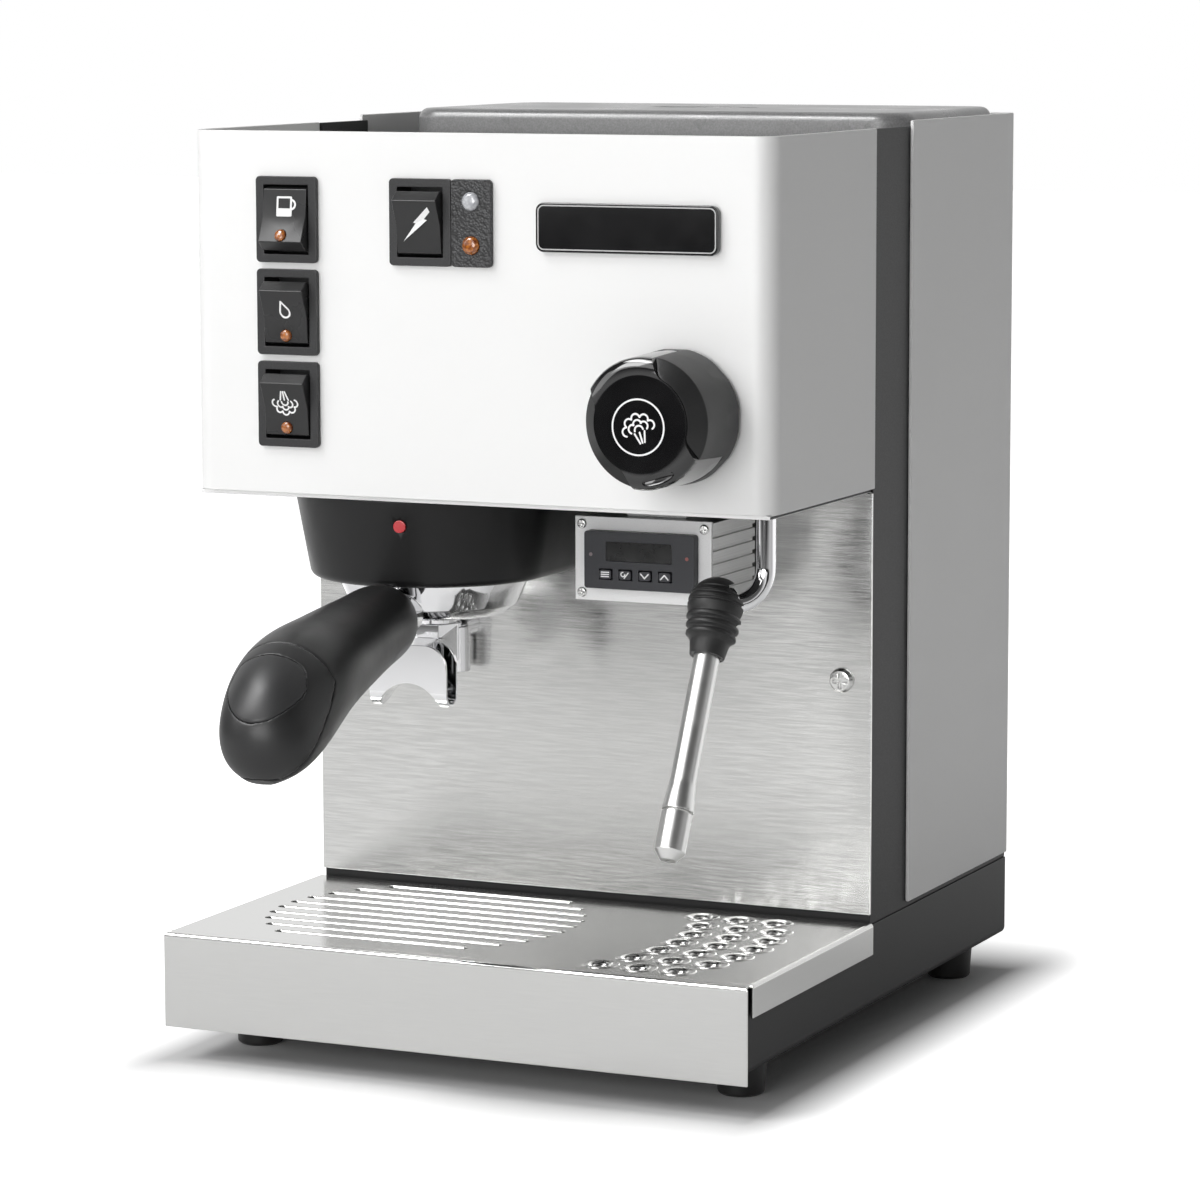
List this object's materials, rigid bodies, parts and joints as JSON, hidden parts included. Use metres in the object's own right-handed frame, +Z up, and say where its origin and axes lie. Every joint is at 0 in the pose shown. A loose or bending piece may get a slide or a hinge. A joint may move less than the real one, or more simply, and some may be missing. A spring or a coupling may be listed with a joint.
{
  "type": "espresso machine",
  "caption": "Countertop espresso machine with a locking brew handle, ball-jointed steam wand, rocker switches, slide-out drip tray, lift-off cover and lift-out water tank.",
  "frame": {"origin": "middle of the whole outline on the counter, handle included", "axes": "+X to the right as seen from the front, +Y to the rear, +Z up"},
  "size_m": [0.2364, 0.3788, 0.3511],
  "materials": {
    "white_paint": "satin white powder coat",
    "black_paint": "fine textured black powder coat",
    "stainless": "brushed left to right",
    "chrome_plate": "polished plating",
    "polished_steel": "polished stainless",
    "basket_steel": "satin",
    "brass": "cast and machined",
    "black_plastic": "fine grain",
    "gloss_black": "polished",
    "display_black": "satin",
    "display_glass": "dark gloss",
    "key_grey": "soft touch",
    "face_aluminium": "satin anodised",
    "amber_lens": "translucent",
    "red_mark": "gloss",
    "rubber": "matte",
    "tank_plastic": "clear",
    "silicone": "satin",
    "seat_plastic": "smooth",
    "coil_plastic": "moulded"
  },
  "bodies": {
    "machine": {"base_pan": "black_paint", "feet": "rubber", "cable_gland": "black_plastic", "chassis": "black_paint", "splash_panel": "stainless", "panel_screws": "polished_steel", "hood": "white_paint", "rear_panel": "white_paint", "cup_tray": "stainless", "group_cover": "black_plastic", "group_marker": "red_mark", "group_head": "brass", "group_gasket": "rubber", "shower_screen": "basket_steel", "boiler": "brass", "heating_element": "basket_steel", "thermostats": "coil_plastic", "pump": "coil_plastic", "pump_bracket": "basket_steel", "solenoid_valve": "coil_plastic", "drain_spout": "black_plastic", "feed_hoses": "silicone", "steam_valve": "brass", "steam_pipe": "polished_steel", "switch_housings": "black_plastic", "indicator_plate": "black_plastic", "indicator_lenses": "amber_lens", "badge_plate": "black_plastic", "controller_box": "face_aluminium", "controller_face": "face_aluminium", "controller_display": "display_black", "controller_window": "display_glass"},
    "drip_tray": {"drip_tray": "stainless"},
    "drip_cover": {"drip_cover": "stainless"},
    "water_tank": {"water_tank": "tank_plastic"},
    "tank_lid": {"tank_lid": "black_plastic"},
    "portafilter": {"portafilter_body": "chrome_plate", "filter_basket": "basket_steel", "double_spout": "chrome_plate", "handle": "black_plastic", "handle_cap": "black_plastic", "handle_plate": "gloss_black"},
    "steam_knob": {"knob_stem": "polished_steel", "knob_body": "black_plastic", "knob_cap": "gloss_black"},
    "wand_seat": {"ball_seat": "seat_plastic"},
    "steam_wand": {"wand_tube": "polished_steel", "wand_boot": "rubber", "wand_nozzle": "polished_steel"},
    "brew_switch": {"brew_rocker": "gloss_black", "brew_lens": "amber_lens"},
    "water_switch": {"water_rocker": "gloss_black", "water_lens": "amber_lens"},
    "steam_switch": {"steam_rocker": "gloss_black", "steam_lens": "amber_lens"},
    "power_switch": {"power_rocker": "gloss_black"},
    "set_button": {"set_key": "key_grey"},
    "mode_button": {"mode_key": "key_grey"},
    "down_button": {"down_key": "key_grey"},
    "up_button": {"up_key": "key_grey"}
  },
  "joints": [
    {"name": "drip_tray_slide", "type": "slide", "parent": "machine", "child": "drip_tray", "axis": [0, -1, 0], "range_m": [0, 0.11]},
    {"name": "drip_cover_lift", "type": "slide", "parent": "drip_tray", "child": "drip_cover", "axis": [0, 0, 1], "range_m": [0, 0.03]},
    {"name": "water_tank_lift", "type": "slide", "parent": "machine", "child": "water_tank", "axis": [0, 0, 1], "range_m": [0, 0.15]},
    {"name": "tank_lid_lift", "type": "slide", "parent": "water_tank", "child": "tank_lid", "axis": [0, 0, 1], "range_m": [0, 0.06]},
    {"name": "portafilter_turn", "type": "hinge", "parent": "machine", "child": "portafilter", "pos_m": [-0.043, -0.01741, 0.1962], "axis": [0, 0, 1], "range_deg": [-45, 0]},
    {"name": "steam_knob_turn", "type": "hinge", "parent": "machine", "child": "steam_knob", "pos_m": [0.081, -0.06982, 0.2473], "axis": [0, -1, 0], "range_deg": [0, 450]},
    {"name": "wand_swing", "type": "hinge", "parent": "machine", "child": "wand_seat", "pos_m": [0.084, -0.04292, 0.176], "axis": [0, 0, 1], "range_deg": [-20, 20]},
    {"name": "wand_tilt", "type": "hinge", "parent": "wand_seat", "child": "steam_wand", "pos_m": [0.084, -0.04292, 0.176], "axis": [1, 0, 0], "range_deg": [-20, 12]},
    {"name": "brew_rock", "type": "hinge", "parent": "machine", "child": "brew_switch", "pos_m": [-0.0756, -0.06842, 0.3141], "axis": [1, 0, 0], "range_deg": [0, 28]},
    {"name": "water_rock", "type": "hinge", "parent": "machine", "child": "water_switch", "pos_m": [-0.0756, -0.06842, 0.2801], "axis": [1, 0, 0], "range_deg": [-28, 0]},
    {"name": "steam_rock", "type": "hinge", "parent": "machine", "child": "steam_switch", "pos_m": [-0.0756, -0.06842, 0.2461], "axis": [1, 0, 0], "range_deg": [-28, 0]},
    {"name": "power_rock", "type": "hinge", "parent": "machine", "child": "power_switch", "pos_m": [-0.0206, -0.06842, 0.3141], "axis": [1, 0, 0], "range_deg": [-28, 0]},
    {"name": "set_press", "type": "slide", "parent": "machine", "child": "set_button", "axis": [0, 1, 0], "range_m": [0, 0.0004], "stiffness_N_per_m": 600, "springref_m": -0.001},
    {"name": "mode_press", "type": "slide", "parent": "machine", "child": "mode_button", "axis": [0, 1, 0], "range_m": [0, 0.0004], "stiffness_N_per_m": 600, "springref_m": -0.001},
    {"name": "down_press", "type": "slide", "parent": "machine", "child": "down_button", "axis": [0, 1, 0], "range_m": [0, 0.0004], "stiffness_N_per_m": 600, "springref_m": -0.001},
    {"name": "up_press", "type": "slide", "parent": "machine", "child": "up_button", "axis": [0, 1, 0], "range_m": [0, 0.0004], "stiffness_N_per_m": 600, "springref_m": -0.001}
  ]
}
